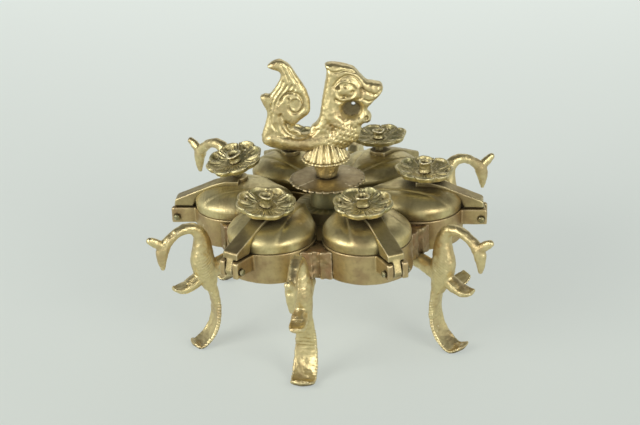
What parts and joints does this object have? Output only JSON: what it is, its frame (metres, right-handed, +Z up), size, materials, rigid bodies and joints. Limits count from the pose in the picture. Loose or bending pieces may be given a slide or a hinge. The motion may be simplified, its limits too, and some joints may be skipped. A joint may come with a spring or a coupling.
{
  "type": "footed powder box",
  "caption": "Ring of lidded teardrop cups on bird-shaped legs, with flower knobs on domed hinged lids and a bird finial that screws down over a scalloped disc.",
  "frame": {"origin": "on the surface it stands on, under the middle of the ring of cups", "axes": "+Z up along the centre stud; +X through the middle of compartment 1; +Y towards the leg between compartments 2 and 3"},
  "size_m": [0.1239, 0.1424, 0.1027],
  "materials": {
    "cast_brass": "aged sand-cast brass, polished on the high spots",
    "lid_brass": "satin, rubbed smooth, with file marks",
    "cup_brass": "dull, with pinkish solder bloom near the joints",
    "soldered_brass": "dark, copper-coloured at the solder",
    "brown_brass": "brown patina, bright at the scalloped rim",
    "stud_brass": "dull, slightly green"
  },
  "bodies": {
    "base": {"centre_drum": "soldered_brass", "gap_webs": "soldered_brass", "centre_stud": "stud_brass", "stud_washer": "stud_brass", "stud_nut": "stud_brass", "cup_1": "cup_brass", "hinge_pin_1": "stud_brass", "leg_bracket_1": "soldered_brass", "bird_leg_1": "cast_brass", "cup_2": "cup_brass", "hinge_pin_2": "stud_brass", "leg_bracket_2": "soldered_brass", "bird_leg_2": "cast_brass", "cup_3": "cup_brass", "hinge_pin_3": "stud_brass", "leg_bracket_3": "soldered_brass", "bird_leg_3": "cast_brass", "cup_4": "cup_brass", "hinge_pin_4": "stud_brass", "leg_bracket_4": "soldered_brass", "bird_leg_4": "cast_brass", "cup_5": "cup_brass", "hinge_pin_5": "stud_brass", "leg_bracket_5": "soldered_brass", "bird_leg_5": "cast_brass", "cup_6": "cup_brass", "hinge_pin_6": "stud_brass", "leg_bracket_6": "soldered_brass", "bird_leg_6": "cast_brass"},
    "lid_assembly_1": {"lid_1": "lid_brass", "hinge_strap_1": "lid_brass", "flower_1": "cast_brass", "knob_rivet_1": "cast_brass"},
    "lid_assembly_2": {"lid_2": "lid_brass", "hinge_strap_2": "lid_brass", "flower_2": "cast_brass", "knob_rivet_2": "cast_brass"},
    "lid_assembly_3": {"lid_3": "lid_brass", "hinge_strap_3": "lid_brass", "flower_3": "cast_brass", "knob_rivet_3": "cast_brass"},
    "lid_assembly_4": {"lid_4": "lid_brass", "hinge_strap_4": "lid_brass", "flower_4": "cast_brass", "knob_rivet_4": "cast_brass"},
    "lid_assembly_5": {"lid_5": "lid_brass", "hinge_strap_5": "lid_brass", "flower_5": "cast_brass", "knob_rivet_5": "cast_brass"},
    "lid_assembly_6": {"lid_6": "lid_brass", "hinge_strap_6": "lid_brass", "flower_6": "cast_brass", "knob_rivet_6": "cast_brass"},
    "disc": {"scalloped_disc": "brown_brass"},
    "finial": {"lotus_collar": "cast_brass", "bird_finial": "cast_brass"}
  },
  "joints": [
    {"name": "lid_hinge_1", "type": "hinge", "parent": "base", "child": "lid_assembly_1", "pos_m": [0.0568, 0, 0.0418], "axis": [0, 1, 0], "range_deg": [0, 105]},
    {"name": "lid_hinge_2", "type": "hinge", "parent": "base", "child": "lid_assembly_2", "pos_m": [0.0284, 0.04919, 0.0418], "axis": [-0.866, 0.5, 0], "range_deg": [0, 105]},
    {"name": "lid_hinge_3", "type": "hinge", "parent": "base", "child": "lid_assembly_3", "pos_m": [-0.0284, 0.04919, 0.0418], "axis": [-0.866, -0.5, 0], "range_deg": [0, 105]},
    {"name": "lid_hinge_4", "type": "hinge", "parent": "base", "child": "lid_assembly_4", "pos_m": [-0.0568, 0, 0.0418], "axis": [0, -1, 0], "range_deg": [0, 105]},
    {"name": "lid_hinge_5", "type": "hinge", "parent": "base", "child": "lid_assembly_5", "pos_m": [-0.0284, -0.04919, 0.0418], "axis": [0.866, -0.5, 0], "range_deg": [0, 105]},
    {"name": "lid_hinge_6", "type": "hinge", "parent": "base", "child": "lid_assembly_6", "pos_m": [0.0284, -0.04919, 0.0418], "axis": [0.866, 0.5, 0], "range_deg": [0, 105]},
    {"name": "finial_lift", "type": "slide", "parent": "base", "child": "disc", "axis": [0, 0, 1], "range_m": [0, 0.0075]},
    {"name": "finial_turn", "type": "hinge", "parent": "disc", "child": "finial", "pos_m": [0, 0, 0.06], "axis": [0, 0, 1], "range_deg": [0, 1800]}
  ],
  "couplings": [
    {"joint": "finial_lift", "follows": "finial_turn", "m_per_rad": 0.00023873}
  ]
}
